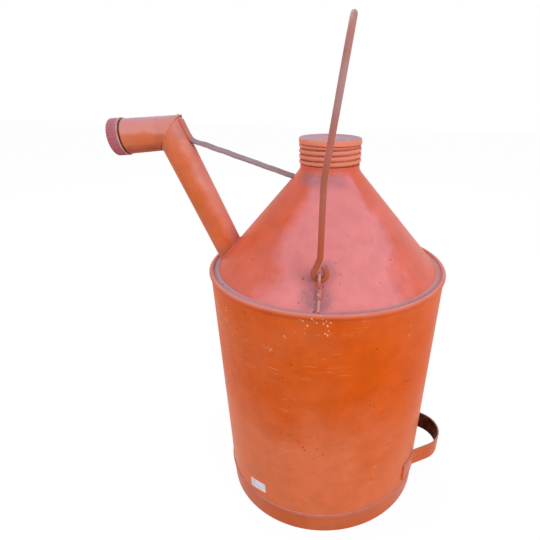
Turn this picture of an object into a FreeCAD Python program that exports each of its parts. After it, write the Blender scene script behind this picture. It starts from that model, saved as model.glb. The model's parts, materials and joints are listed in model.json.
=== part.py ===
import FreeCAD, Part
import math
import os
import Sketcher

# Two-gallon oil can of soldered sheet steel: cylinder body on a foot ring, cone top with a screwed
# filler, mitred spout with a brace, wire bail in twisted ears, and a strap handle for tilting.
# Frame: Z up, origin at the centre of the foot's underside, spout towards -X, tilt handle towards
# +X, bail hinge along Y. Millimetres and degrees.

doc = FreeCAD.newDocument("OilCan")
sheet = doc.addObject("Spreadsheet::Sheet", "Sizes")

sizes = {
    # sheet metal
    "sheetWall": 1.0,
    "tubeWall": 0.9,
    "fitGap": 0.05,          # between pieces that are soldered or slid together
    "seatGap": 0.2,          # between pieces that part from each other
    # body
    "bodyRadius": 108.0,
    "footHeight": 24.0,      # underside to the body's lower edge
    "bodyHeight": 228.5,     # lower edge to the rim
    "lipRadius": 1.2,
    "rimBeadRadius": 2.3,
    "rimWireRadius": 1.3,
    "rimInset": 0.9,         # bead centre inside the body's outer face
    "rimSlit": 0.8,
    "seamWidth": 9.0,
    "seamRise": 0.8,
    "seamShy": 0.75,         # lap seam's ends, short of the body's edges
    # foot and bottom
    "footLap": 12.0,
    "footJoggle": 2.0,
    "bottomFlange": 9.0,
    "hemRadius": 0.9,
    # cone
    "coneInset": 3.5,        # foot of the slope inside the body's outer face
    "coneAngle": 47.45,      # above level
    "coneFlange": 10.0,
    # filler neck and cap
    "neckBore": 22.6,
    "neckThreadRadius": 23.8,
    "neckCollarRadius": 24.9,
    "neckFlangeRadius": 27.4,
    "neckCollarHeight": 2.2, # above the cone's inner edge
    "neckThreadHeight": 16.0,
    "neckFlangeEdge": 0.5,
    "neckFillet": 2.0,
    "neckChamfer": 0.6,
    "capRadius": 25.9,
    "capWall": 1.0,
    "capBand": 4.2,
    "capSkirt": 14.8,
    "capThreadGap": 0.3,
    "capEdge": 0.5,          # steps of its rounded upper edge
    "capPanelInset": 6.5,
    "capPanelDepth": 0.3,
    "ribDepth": 0.7,
    "ribPitch": 4.1,
    "gasketThickness": 2.2,
    # spout
    "spoutRadius": 12.7,       # lower tube, and the nozzle at the elbow
    "elbowOverhang": 24.8,   # elbow outside the body
    "elbowRise": 111.1,      # elbow above the rim
    "spoutAngle": 22.5,      # lower tube, from upright
    "nozzleAngle": 5.3,      # upper tube, below level
    "nozzleLength": 38.2,
    "nozzleMouthRadius": 13.4,
    "ferruleLap": 10.0,
    "ferruleBore": 10.8,
    "ferruleThread": 9.1,
    "ferruleThreadRadius": 12.8,
    "spoutCapRadius": 14.2,
    "spoutCapWall": 1.2,
    "spoutCapRim": 0.25,     # smooth rim at its mouth, proud of the knurled band
    "spoutCapEdge": 1.6,
    "spoutCapLift": 1.5,     # cap's open edge to the tube's end
    "spoutCapThreadGap": 0.4,
    "spoutGasketThickness": 1.2,
    # brace
    "braceWidth": 14.0,
    "braceThickness": 1.8,
    "braceLanding": 3.9,     # strip meets the cone, outside the neck's flange
    "braceTab": 19.8,
    "braceTabLow": 11.0,     # tab's lower end, below the elbow
    # bail and ears
    "hingeInset": 16.7,      # hinge inside the body's outer face
    "hingeRise": 15.52,      # hinge above the cone's face
    "bailWire": 2.3,
    "bailRingRadius": 4.8,
    "bailRise": 156.0,       # hinge to the middle of the grip's wire
    "bailNeckLength": 11.0,  # first bend, above the ring
    "bailNeckAngle": 24.0,
    "bailLegLength": 53.0,   # second bend, above the first
    "bailLegAngle": -1.6,    # legs below the second bend, from upright
    "bailTopAngle": 9.6,     # legs above it
    "bailTwistAngle": 3.3,   # front leg leans more by this below the bend, back leg less
    "bailNeckBend": 8.0,
    "bailLegBend": 40.0,
    "bailCorner": 42.0,
    "bailHookAngle": 70.0,   # from upright, where the ring ends and its hook runs on straight
    "bailHookLength": 4.5,
    "earWire": 1.2,
    "earEyeRadius": 5.4,
    "earTwistLength": 12.0,
    "earStemLength": 11.0,
    "earTwists": 1.5,
    # tilt handle
    "handleHeight": 44.0,    # middle of the strap
    "handleWidth": 22.0,
    "handleThickness": 1.5,
    "handleStandout": 28.0,  # strap's outer face outside the body
    "handleApexRadius": 30.0,
    "handleApexAngle": 60.0, # half of the loop's round end
    "handleBend": 6.0,
    "handleTabAngle": 33.6,  # tabs' ends, round the body
}
for row, (alias, amount) in enumerate(sizes.items(), start=1):
    sheet.set(f"A{row}", alias)
    sheet.set(f"B{row}", str(amount))
    sheet.setAlias(f"B{row}", alias)
doc.recompute()


class Size:
    """A length or angle that carries its spreadsheet formula along with its value."""

    def __init__(self, value, text=None):
        self.value = value
        self.text = text if text is not None else repr(value)

    def join(self, other, sign, value):
        return Size(value, f"({self.text} {sign} {other.text})")

    def __add__(self, other):
        other = asSize(other)
        return self.join(other, "+", self.value + other.value)

    def __sub__(self, other):
        other = asSize(other)
        return self.join(other, "-", self.value - other.value)

    def __mul__(self, other):
        other = asSize(other)
        return self.join(other, "*", self.value * other.value)

    def __truediv__(self, other):
        other = asSize(other)
        return self.join(other, "/", self.value / other.value)

    def __neg__(self):
        return Size(-self.value, f"(0 - {self.text})")

    __radd__ = __add__

    def __rmul__(self, other):
        return asSize(other) * self

    def __rsub__(self, other):
        return asSize(other) - self


def asSize(number):
    return number if isinstance(number, Size) else Size(number)


def get(alias):
    return Size(float(sheet.get(alias)), f"Sizes.{alias}")


def sine(angle):
    return Size(math.sin(math.radians(angle.value)), f"sin({angle.text} * 1 deg)")


def cosine(angle):
    return Size(math.cos(math.radians(angle.value)), f"cos({angle.text} * 1 deg)")


def tangent(angle):
    return Size(math.tan(math.radians(angle.value)), f"tan({angle.text} * 1 deg)")


def arctangent(ratio):
    return Size(math.degrees(math.atan(ratio.value)), f"(atan({ratio.text}) / 1 deg)")


# ---- helpers that make bound document objects

def bind(thing, path, size):
    thing.setExpression(path, asSize(size).text)


def place(thing, x=0, y=0, z=0, turn=None):
    """Bind a position, and a turn about the Y axis in degrees."""
    for axis, amount in zip("xyz", (x, y, z)):
        bind(thing, f"Placement.Base.{axis}", amount)
    if turn is not None:
        rotation = FreeCAD.Rotation(FreeCAD.Vector(0, 1, 0), asSize(turn).value)
        thing.Placement = FreeCAD.Placement(thing.Placement.Base, rotation)
        bind(thing, "Placement.Rotation.Angle", turn)
    return thing


def cylinder(name, radius, height, x=0, y=0, z=0, turn=None):
    made = doc.addObject("Part::Cylinder", name)
    bind(made, "Radius", radius)
    bind(made, "Height", height)
    return place(made, x, y, z, turn)


def box(name, length, width, height, x=0, y=0, z=0, turn=None):
    made = doc.addObject("Part::Box", name)
    bind(made, "Length", length)
    bind(made, "Width", width)
    bind(made, "Height", height)
    return place(made, x, y, z, turn)


def torus(name, ringRadius, wireRadius, x=0, y=0, z=0):
    made = doc.addObject("Part::Torus", name)
    bind(made, "Radius1", ringRadius)
    bind(made, "Radius2", wireRadius)
    return place(made, x, y, z)


def cut(name, base, tool):
    made = doc.addObject("Part::Cut", name)
    made.Base = base
    made.Tool = tool
    return made


def common(name, first, second):
    made = doc.addObject("Part::Common", name)
    made.Base = first
    made.Tool = second
    return made


def fuse(name, pieces):
    made = doc.addObject("Part::MultiFuse", name)
    made.Shapes = pieces
    made.Refine = True
    return made


def tube(name, outer, inner, height, x=0, y=0, z=0, turn=None):
    """A plain tube; its bore runs a little past both ends."""
    skin = cylinder(name + "Skin", outer, height, x, y, z, turn)
    angle = asSize(0 if turn is None else turn)
    over = 1.0
    bore = cylinder(
        name + "Bore", inner, asSize(height) + 2 * over,
        asSize(x) - over * sine(angle), y, asSize(z) - over * cosine(angle), turn)
    return cut(name, skin, bore)


def turned(name, outline):
    """A body turned about Z from an outline of (radius, height) corners, every corner bound."""
    body = doc.addObject("PartDesign::Body", name)
    plane = [p for p in body.Origin.OriginFeatures if p.Role == "XZ_Plane"][0]
    sketch = body.newObject("Sketcher::SketchObject", name + "Outline")
    sketch.AttachmentSupport = (plane, [""])
    sketch.MapMode = "FlatFace"
    corners = [(asSize(r), asSize(z)) for r, z in outline]
    points = [FreeCAD.Vector(r.value, z.value, 0) for r, z in corners]
    for first, second in zip(points, points[1:] + points[:1]):
        sketch.addGeometry(Part.LineSegment(first, second))
    count = len(points)
    for index in range(count):
        sketch.addConstraint(Sketcher.Constraint("Coincident", index, 2, (index + 1) % count, 1))
    for index, (r, z) in enumerate(corners):
        for kind, size in (("DistanceX", r), ("DistanceY", z)):
            if abs(size.value) < 1e-9:
                onAxis = -2 if kind == "DistanceX" else -1
                sketch.addConstraint(Sketcher.Constraint("PointOnObject", index, 1, onAxis))
                continue
            added = sketch.addConstraint(
                Sketcher.Constraint(kind, -1, 1, index, 1, size.value))
            sketch.setExpression(f"Constraints[{added}]", size.text)
    spin = body.newObject("PartDesign::Revolution", name + "Spin")
    spin.Profile = sketch
    spin.ReferenceAxis = (sketch, ["V_Axis"])
    spin.Angle = 360
    body.Tip = spin
    return body


# ---- shared levels and lines

wall = get("sheetWall")
fitGap = get("fitGap")
seatGap = get("seatGap")
bodyRadius = get("bodyRadius")
bodyInner = bodyRadius - wall
footTop = get("footHeight")
rimSeat = footTop + get("bodyHeight")                  # underside of the rim bead
beadCentre = rimSeat + get("rimBeadRadius")
beadRing = bodyRadius - get("rimInset")
slope = get("coneAngle")
coneRise = tangent(slope)
coneBase = bodyRadius - get("coneInset")
overlap = 0.5                                          # how far fused sheets run into each other
past = 2.0                                             # how far a trimming tool runs past
skinDrop = wall / cosine(slope)                        # sheet thickness measured upright


def coneTopAt(radius):
    """Height of the cone's outer face at a radius."""
    return rimSeat + (coneBase - radius) * coneRise


# ---- body: wall, wired top edge, rolled lower lip, lapped side seam

def makeBody():
    bodyWall = tube("BodyWall", bodyRadius, bodyInner, get("bodyHeight") + overlap, z=footTop)
    curlSkin = torus("CurlSkin", beadRing, get("rimBeadRadius"), z=beadCentre)
    curlHollow = torus("CurlHollow", beadRing, get("rimWireRadius") + 2 * fitGap, z=beadCentre)
    lip = torus("LipSkin", bodyRadius, get("lipRadius"), z=footTop + get("lipRadius"))
    lipTrim = cylinder("LipTrim", bodyInner, 4 * get("lipRadius"), z=footTop - get("lipRadius"))
    lipRing = cut("LipRing", lip, lipTrim)
    seamAngle = Size(360 / (2 * math.pi)) * get("seamWidth") / bodyRadius
    seamSkin = cylinder("SeamSkin", bodyRadius + get("seamRise"), get("bodyHeight") - 2 * get("seamShy"))
    bind(seamSkin, "Angle", seamAngle)
    seamSkin.Placement = FreeCAD.Placement(
        FreeCAD.Vector(), FreeCAD.Rotation(FreeCAD.Vector(0, 0, 1), 90))
    bind(seamSkin, "Placement.Base.z", footTop + get("seamShy"))
    seamTrim = cylinder("SeamTrim", bodyRadius - wall / 2, get("bodyHeight") + 2 * past, z=footTop - past)
    seam = cut("SeamLap", seamSkin, seamTrim)
    shell = fuse("ShellWhole", [bodyWall, curlSkin, lipRing, seam])
    hollowed = cut("ShellHollow", shell, curlHollow)
    slit = tube("RimSlitRing", bodyInner, bodyInner - get("rimSlit"),
                get("rimBeadRadius"), z=rimSeat - overlap)
    return cut("BodyShell", hollowed, slit)


def makeRimWire():
    return torus("RimWire", beadRing, get("rimWireRadius"), z=beadCentre)


# ---- foot ring, joggled into the body, hemmed where it stands

def makeFootRing():
    hem = get("hemRadius")
    lapOuter = bodyInner
    return turned("FootRing", [
        (bodyRadius - wall - hem, 0),
        (bodyRadius - hem / 2, 0),
        (bodyRadius, hem / 2),
        (bodyRadius, footTop - get("footJoggle") - fitGap),
        (lapOuter, footTop - fitGap),
        (lapOuter, footTop + get("footLap")),
        (lapOuter - wall, footTop + get("footLap")),
        (lapOuter - wall, footTop - get("footJoggle") / 2),
        (bodyRadius - wall, footTop - 1.5 * get("footJoggle")),
        (bodyRadius - wall, hem * 3),
        (bodyRadius - wall - hem, hem * 3 - hem / 2),
    ])


# ---- bottom: a tray with its flange down, inside the foot ring's lap

def makeBottomPlate():
    edge = bodyInner - wall
    top = footTop + get("footLap") - wall
    return turned("BottomPlate", [
        (0, top - wall),
        (edge - wall, top - wall),
        (edge - wall, top - get("bottomFlange")),
        (edge, top - get("bottomFlange")),
        (edge, top),
        (0, top),
    ])


# ---- spout line, shared by the tubes, the hole in the cone and the brace

lean = get("spoutAngle")
droop = get("nozzleAngle")
elbowX = -(bodyRadius + get("elbowOverhang"))
elbowZ = rimSeat + get("elbowRise")
spoutRadius = get("spoutRadius")
spoutBore = spoutRadius - get("tubeWall")
spoutFoot = rimSeat - spoutRadius                                  # trims start inside the can
lowerLength = (elbowZ - spoutFoot) / cosine(lean)
lowerStartX = elbowX + lowerLength * sine(lean)
lowerStartZ = elbowZ - lowerLength * cosine(lean)
elbowOver = 3 * spoutRadius                                        # tube left on for the mitre
mitreTurn = (droop - lean) / 2 - 45                                # halves the elbow


def alongLower(distance):
    """A point on the lower tube's line, measured down from the elbow."""
    return elbowX + distance * sine(lean), elbowZ - distance * cosine(lean)


def alongNozzle(distance):
    """A point on the upper tube's line, measured out from the elbow."""
    return elbowX - distance * cosine(droop), elbowZ - distance * sine(droop)


def lowerTubeSolid(name, radius):
    return cylinder(name, radius, lowerLength + elbowOver, lowerStartX, 0, lowerStartZ, -lean)


def mitreBlock(name, keepUpper):
    """A block whose one face is the mitre plane, covering what is cut away."""
    side = 8 * spoutRadius
    block = doc.addObject("Part::Box", name)
    for path in ("Length", "Width", "Height"):
        bind(block, path, side)
    tilt = mitreTurn
    depth = asSize(0) if keepUpper else side
    # the block's local Z stands square to the mitre plane
    place(block,
          elbowX - side / 2 * cosine(tilt) - depth * sine(tilt),
          -side / 2,
          elbowZ + side / 2 * sine(tilt) - depth * cosine(tilt),
          tilt)
    return block


def makeConeTop():
    outer = bodyInner
    plate = turned("ConePlate", [
        (get("neckBore"), coneTopAt(get("neckBore")) - skinDrop),
        (outer - wall, coneTopAt(outer - wall) - skinDrop),
        (outer - wall, rimSeat - get("coneFlange")),
        (outer, rimSeat - get("coneFlange")),
        (outer, coneTopAt(outer)),
        (get("neckBore"), coneTopAt(get("neckBore"))),
    ])
    return cut("ConeTop", plate, lowerTubeSolid("ConeSpoutHole", spoutBore))


def coneFilled(name):
    """Everything under the cone's outer face, to trim what is soldered on it."""
    apex = 1.0
    floor = spoutFoot - 2 * spoutRadius
    return turned(name, [
        (0, floor),
        (bodyInner, floor),
        (bodyInner, coneTopAt(bodyInner)),
        (apex, coneTopAt(asSize(apex))),
        (0, coneTopAt(asSize(apex))),
    ])


# ---- filler neck, gasket and ribbed screw cap

neckFoot = coneTopAt(get("neckBore"))
collarTop = neckFoot + get("neckCollarHeight")
neckTop = collarTop + get("neckThreadHeight")
gasketBottom = neckTop + seatGap
capInside = gasketBottom + get("gasketThickness") + seatGap
capTop = capInside + get("capWall")


def makeFillerNeck():
    bore = get("neckBore")
    thread = get("neckThreadRadius")
    collar = get("neckCollarRadius")
    flange = get("neckFlangeRadius")
    chamfer = get("neckChamfer")
    fillet = get("neckFillet")
    return turned("FillerNeck", [
        (bore, coneTopAt(bore)),
        (flange, coneTopAt(flange)),
        (flange, coneTopAt(flange) + get("neckFlangeEdge")),
        (collar + fillet, coneTopAt(collar + fillet) + 0.75 * fillet),
        (collar + 0.3 * fillet, coneTopAt(collar + 0.3 * fillet) + fillet),
        (collar, collarTop - 0.7 * fillet),
        (collar, collarTop),
        (thread, collarTop),
        (thread, neckTop - chamfer),
        (thread - chamfer, neckTop),
        (bore, neckTop),
    ])


def makeFillerGasket():
    return turned("FillerGasket", [
        (0, gasketBottom),
        (get("neckThreadRadius"), gasketBottom),
        (get("neckThreadRadius"), gasketBottom + get("gasketThickness")),
        (0, gasketBottom + get("gasketThickness")),
    ])


def ribOutline(outer, depth, pitch, bottom, top):
    """Rolled ribs down a skirt: a narrow groove under each rounded rib."""
    count = int((top.value - bottom.value) / pitch.value)
    corners = []
    for rib in range(count):
        level = bottom + rib * pitch
        corners += [
            (outer - depth, level + pitch * 0.02),
            (outer - depth * 0.25, level + pitch * 0.22),
            (outer, level + pitch * 0.42),
            (outer, level + pitch * 0.62),
            (outer - depth * 0.25, level + pitch * 0.82),
            (outer - depth, level + pitch * 0.96),
        ]
    return corners


def makeFillerCap():
    inner = get("neckThreadRadius") + get("capThreadGap")
    outer = get("capRadius")
    skirtBottom = capTop - get("capBand") - get("capSkirt")
    bandBottom = capTop - get("capBand")
    edge = get("capEdge")
    panel = outer - get("capPanelInset")
    dish = get("capPanelDepth")
    ribs = ribOutline(outer - edge, get("ribDepth"), get("ribPitch"), skirtBottom, bandBottom)
    return turned("FillerCap", [
        (0, capInside),
        (inner, capInside),
        (inner, skirtBottom),
    ] + ribs + [
        (outer, bandBottom + edge),
        (outer, capTop - 3 * edge),
        (outer - edge, capTop - edge),
        (outer - 3 * edge, capTop),
        (panel, capTop),
        (panel - edge, capTop - dish),
        (0, capTop - dish),
    ])


# ---- spout: two tubes mitred at the elbow, a ferrule, a gasket and a knurled cap

def makeLowerTube():
    whole = cut("LowerTubeBored", lowerTubeSolid("LowerTubeSkin", spoutRadius),
                lowerTubeSolid("LowerTubeBore", spoutBore))
    mitred = cut("LowerTubeMitred", whole, mitreBlock("LowerMitre", True))
    return cut("SpoutLowerTube", mitred, coneFilled("LowerConeTrim"))


def nozzleRadiusAt(distance):
    """The nozzle widens a little from the elbow to its mouth."""
    return spoutRadius + (get("nozzleMouthRadius") - spoutRadius) * distance / get("nozzleLength")


def nozzleCone(name, shy, over):
    """The nozzle's taper, drawn in by `shy`, from past its mouth to past the elbow."""
    mouth = get("nozzleLength") + over
    far = -(elbowOver + over)
    made = doc.addObject("Part::Cone", name)
    bind(made, "Radius1", nozzleRadiusAt(mouth) - shy)
    bind(made, "Radius2", nozzleRadiusAt(far) - shy)
    bind(made, "Height", mouth - far)
    mouthX, mouthZ = alongNozzle(mouth)
    return place(made, mouthX, 0, mouthZ, 90 - droop)


def makeUpperTube():
    skin = nozzleCone("UpperTubeSkin", 0, 0)
    bore = nozzleCone("UpperTubeBore", get("tubeWall"), past)
    return cut("SpoutUpperTube", cut("UpperTubeWhole", skin, bore), mitreBlock("UpperMitre", False))


def nozzleTurned(name, outline):
    """A piece turned about the nozzle's line: heights are measured out from the elbow."""
    body = turned(name, outline)
    rotation = FreeCAD.Rotation(FreeCAD.Vector(0, 1, 0), -90 - droop.value)
    body.Placement = FreeCAD.Placement(FreeCAD.Vector(), rotation)
    bind(body, "Placement.Base.x", elbowX)
    bind(body, "Placement.Base.z", elbowZ)
    bind(body, "Placement.Rotation.Angle", -90 - droop)
    return body


tubeEnd = get("nozzleLength")
spoutThread = get("ferruleThreadRadius")
spoutCapInner = spoutThread + get("spoutCapThreadGap")
ferruleEnd = tubeEnd + get("ferruleThread")
spoutGasketStart = ferruleEnd + seatGap
spoutCapInside = spoutGasketStart + get("spoutGasketThickness") + seatGap
spoutCapEnd = spoutCapInside + get("spoutCapWall")
spoutCapMouth = tubeEnd + get("spoutCapLift")


def makeFerrule():
    bore = get("ferruleBore")
    start = tubeEnd - get("ferruleLap")
    return nozzleTurned("SpoutFerrule", [
        (bore, start),
        (nozzleRadiusAt(start) - get("tubeWall"), start),
        (nozzleRadiusAt(tubeEnd) - get("tubeWall"), tubeEnd),
        (spoutThread, tubeEnd),
        (spoutThread, ferruleEnd - wall / 2),
        (spoutThread - wall / 2, ferruleEnd),
        (bore, ferruleEnd),
    ])


def makeSpoutGasket():
    edge = spoutThread - seatGap
    return nozzleTurned("SpoutGasket", [
        (0, spoutGasketStart),
        (edge, spoutGasketStart),
        (edge, spoutGasketStart + get("spoutGasketThickness")),
        (0, spoutGasketStart + get("spoutGasketThickness")),
    ])


def makeSpoutCap():
    outer = get("spoutCapRadius")
    rim = outer + get("spoutCapRim")
    edge = get("spoutCapEdge")
    return nozzleTurned("SpoutCap", [
        (0, spoutCapInside),
        (spoutCapInner, spoutCapInside),
        (spoutCapInner, spoutCapMouth),
        (rim, spoutCapMouth),
        (rim, spoutCapMouth + 0.75 * edge),
        (outer, spoutCapMouth + edge),
        (outer, spoutCapEnd - edge),
        (outer - 0.3 * edge, spoutCapEnd - 0.3 * edge),
        (outer - edge, spoutCapEnd),
        (0, spoutCapEnd),
    ])


# ---- brace: a flat strip from the back of the lower tube to the foot of the filler neck

def makeBrace():
    width = get("braceWidth")
    thick = get("braceThickness")
    root = 2 * past                           # strip carried into the tab before it is trimmed
    # tab: a slice of a sleeve that hugs the back of the lower tube, just under the elbow
    lowX, lowZ = alongLower(get("braceTabLow"))
    sleeve = tube("BraceSleeve", spoutRadius + thick, spoutRadius, get("braceTab"),
                  lowX, 0, lowZ, -lean)
    backHalf = box("BraceBackHalf", 2 * spoutRadius, width, get("braceTab") + 2 * past,
                   lowX + past * sine(lean), -width / 2, lowZ - past * cosine(lean), -lean)
    tab = cut("BraceTabMitred", common("BraceTab", sleeve, backHalf), mitreBlock("BraceMitre", True))
    # strip: from just under the tab's lower end down to the foot of the neck
    rootX, rootZ = alongLower(get("braceTabLow") + thick / 2)
    backX = rootX + spoutRadius * cosine(lean)
    backZ = rootZ + spoutRadius * sine(lean)
    landing = get("neckFlangeRadius") + get("braceLanding")
    drop = arctangent((backZ - coneTopAt(landing)) / (-backX - landing))
    strip = box("BraceStrip", -elbowX, width, thick,
                backX - root * cosine(drop), -width / 2, backZ + root * sine(drop), drop)
    flange = get("neckFlangeRadius")
    flangeLow = coneTopAt(flange)
    neckCore = turned("BraceNeckTrim", [(0, flangeLow), (flange, flangeLow), (flange, capTop), (0, capTop)])
    farSide = box("BraceFarTrim", 2 * bodyRadius, 2 * bodyRadius, 2 * bodyRadius,
                  0, -bodyRadius, rimSeat)
    trim = fuse("BraceTrim", [
        lowerTubeSolid("BraceTubeTrim", spoutRadius), coneFilled("BraceConeTrim"), neckCore, farSide])
    return fuse("SpoutBrace", [tab, cut("BraceStripTrimmed", strip, trim)])


# ---- bail: one wire, a ring at each end round the ear's eye

def sweepWire(edges, radius):
    """A round wire along a smooth chain of edges."""
    path = Part.Wire(edges)
    start = edges[0].valueAt(edges[0].FirstParameter)
    direction = edges[0].tangentAt(edges[0].FirstParameter)
    section = Part.Wire(Part.makeCircle(radius, start, direction))
    return path.makePipeShell([section], True, False)


def v(x, y, z):
    return FreeCAD.Vector(x, y, z)


def featureFrom(name, shape, base=None, turn=0.0):
    made = doc.addObject("Part::Feature", name)
    made.Shape = shape
    if base is not None:
        made.Placement = FreeCAD.Placement(base, FreeCAD.Rotation(v(0, 1, 0), turn))
    return made


hingeReach = bodyRadius - get("hingeInset")
hingeHeight = coneTopAt(hingeReach) + get("hingeRise")


def roundedPath(points, radii):
    """Straight runs through the points, with an arc of the given radius at each inner point."""
    edges = []
    here = points[0]
    for before, corner, after, radius in zip(points, points[1:], points[2:], radii):
        back = (before - corner).normalize()
        ahead = (after - corner).normalize()
        half = back.getAngle(ahead) / 2
        start = corner + back * (radius / math.tan(half))
        end = corner + ahead * (radius / math.tan(half))
        middle = corner + (back + ahead).normalize() * (radius / math.sin(half) - radius)
        edges += [Part.makeLine(here, start), Part.Arc(start, middle, end).toShape()]
        here = end
    return edges + [Part.makeLine(here, points[-1])]


def makeBail():
    reach = hingeReach.value
    ring = get("bailRingRadius").value
    rise = get("bailRise").value
    neckAngle = math.radians(get("bailNeckAngle").value)
    hookAngle = math.radians(get("bailHookAngle").value)

    def legPoints(side):
        # ring's end, first bend, second bend and the crown's corner, going up
        low = math.radians(get("bailLegAngle").value - side * get("bailTwistAngle").value)
        high = math.radians(get("bailTopAngle").value)
        y = side * reach
        ringEnd = v(-ring * math.cos(neckAngle), y, ring * math.sin(neckAngle))
        neck = ringEnd + v(math.sin(neckAngle), 0, math.cos(neckAngle)) * get("bailNeckLength").value
        knee = neck + v(math.sin(low), 0, math.cos(low)) * get("bailLegLength").value
        corner = knee + v(math.tan(high), 0, 1) * (rise - knee.z)
        return [ringEnd, neck, knee, corner]

    def ringEdges(side):
        # the hook's straight end, then round under the hinge line and up to the leg
        y = side * reach
        hook = v(ring * math.sin(hookAngle), y, ring * math.cos(hookAngle))
        cutEnd = hook + v(-math.cos(hookAngle), 0, math.sin(hookAngle)) * get("bailHookLength").value
        ringEnd = legPoints(side)[0]
        return [Part.makeLine(cutEnd, hook), Part.Arc(hook, v(0, y, -ring), ringEnd).toShape()]

    bends = [get("bailNeckBend").value, get("bailLegBend").value, get("bailCorner").value]
    points = legPoints(-1) + legPoints(1)[::-1]
    chain = ringEdges(-1) + roundedPath(points, bends + bends[::-1]) + ringEdges(1)[::-1]
    shape = sweepWire(chain, get("bailWire").value)
    return featureFrom("Bail", shape, v(0, 0, hingeHeight.value))


# ---- ears: an eye standing on a twisted shank that lies down the cone to the rim

def makeEar(name, side):
    wire = get("earWire").value
    eye = get("earEyeRadius").value
    hug = fitGap.value
    slopeAngle = math.radians(slope.value)
    down = v(0, math.cos(slopeAngle), -math.sin(slopeAngle))       # down the cone, in the +Y half
    out = v(0, math.sin(slopeAngle), math.cos(slopeAngle))         # square to the cone
    crown = v(0, hingeReach.value, hingeHeight.value)
    centre = crown - v(0, 0, eye)
    # how far the eye's lowest strand stands off the cone: the shank is bent down to lie on it
    surface = v(0, coneBase.value, rimSeat.value)
    standOff = (centre - surface).dot(out) - eye
    lie = wire + hug
    foot = centre - out * eye
    twist = get("earTwistLength").value
    stem = get("earStemLength").value
    turns = get("earTwists").value
    twistStart = foot + out * (lie - standOff) + down * wire
    twistEnd = twistStart + down * twist
    eyeRing = Part.makeTorus(eye, wire, centre, v(1, 0, 0))
    pieces = [eyeRing, Part.makeCylinder(wire, (twistStart - foot).Length, foot,
                                         twistStart - foot)]
    # twisted pair, as a two-lobed section turned on its way down
    steps = int(8 * turns)
    sections = []
    for step in range(steps + 1):
        turn = 360 * turns * step / steps
        ellipse = Part.Ellipse(v(0, 0, 0), 1.75 * wire, wire).toShape()
        section = Part.Wire([ellipse])
        section.rotate(v(0, 0, 0), v(0, 0, 1), turn)
        section.translate(v(0, 0, twist * step / steps))
        sections.append(section)
    pair = Part.makeLoft(sections, True, False)
    pair.Placement = FreeCAD.Placement(
        twistStart + out * (0.75 * wire), FreeCAD.Rotation(v(0, 0, 1), down))
    pieces.append(pair)
    pieces.append(Part.makeCylinder(wire, stem, twistEnd - down * wire, down))
    shape = pieces[0]
    for piece in pieces[1:]:
        shape = shape.fuse(piece)
    shape = shape.removeSplitter()
    if side < 0:
        shape = shape.mirror(v(0, 0, 0), v(0, 1, 0))
    return featureFrom(name, shape)


# ---- tilt handle: a strap loop with its ends lapped on the body

def makeTiltHandle():
    body = bodyRadius.value
    thick = get("handleThickness").value
    width = get("handleWidth").value
    lap = body + thick / 2
    apexRadius = get("handleApexRadius").value
    apexHalf = math.radians(get("handleApexAngle").value)
    bend = get("handleBend").value
    apexX = body + get("handleStandout").value - thick / 2 - apexRadius
    tabEnd = math.radians(get("handleTabAngle").value)
    arm = v(-math.sin(apexHalf), math.cos(apexHalf), 0)            # along the straight, towards the body
    knee = v(apexX + apexRadius * math.cos(apexHalf), apexRadius * math.sin(apexHalf), 0)
    # the bend's centre lies `bend` off the straight and `bend` outside the lap circle
    side = v(arm.y, -arm.x, 0)
    start = knee + side * bend
    far = lap + bend
    along = -start.dot(arm) - math.sqrt(start.dot(arm) ** 2 - start.dot(start) + far ** 2)
    centre = start + arm * along
    onArm = centre - side * bend
    onLap = centre * (lap / far)
    inside = (onArm + onLap) * 0.5 - centre
    middle = centre + inside * (bend / inside.Length)

    def both(point):
        return v(point.x, -point.y, 0)

    lapAngle = math.atan2(onLap.y, onLap.x)
    halfTab = v(lap * math.cos((lapAngle + tabEnd) / 2), lap * math.sin((lapAngle + tabEnd) / 2), 0)
    tabTip = v(lap * math.cos(tabEnd), lap * math.sin(tabEnd), 0)
    chain = [
        Part.Arc(both(tabTip), both(halfTab), both(onLap)).toShape(),
        Part.Arc(both(onLap), both(middle), both(onArm)).toShape(),
        Part.makeLine(both(onArm), both(knee)),
        Part.Arc(both(knee), v(apexX + apexRadius, 0, 0), knee).toShape(),
        Part.makeLine(knee, onArm),
        Part.Arc(onArm, middle, onLap).toShape(),
        Part.Arc(onLap, halfTab, tabTip).toShape(),
    ]
    path = Part.Wire(chain)
    low = get("handleHeight").value - width / 2
    path.translate(v(0, 0, low))
    tip = both(tabTip) + v(0, 0, low)
    across = v(tip.x, tip.y, 0)
    across.normalize()
    corners = [tip - across * (thick / 2), tip + across * (thick / 2)]
    section = Part.makePolygon([
        corners[0], corners[1], corners[1] + v(0, 0, width), corners[0] + v(0, 0, width), corners[0]])
    shape = path.makePipeShell([section], True, False)
    return featureFrom("TiltHandle", shape)


# ---- build, check and write

nodes = {
    "body_shell": makeBody(),
    "rim_wire": makeRimWire(),
    "foot_ring": makeFootRing(),
    "bottom_plate": makeBottomPlate(),
    "cone_top": makeConeTop(),
    "filler_neck": makeFillerNeck(),
    "filler_gasket": makeFillerGasket(),
    "filler_cap": makeFillerCap(),
    "spout_lower_tube": makeLowerTube(),
    "spout_upper_tube": makeUpperTube(),
    "spout_ferrule": makeFerrule(),
    "spout_gasket": makeSpoutGasket(),
    "spout_cap": makeSpoutCap(),
    "spout_brace": makeBrace(),
    "bail": makeBail(),
    "bail_ear_front": makeEar("BailEarFront", -1),
    "bail_ear_back": makeEar("BailEarBack", 1),
    "tilt_handle": makeTiltHandle(),
}
for label, made in nodes.items():
    made.Label = label
doc.recompute()

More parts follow.
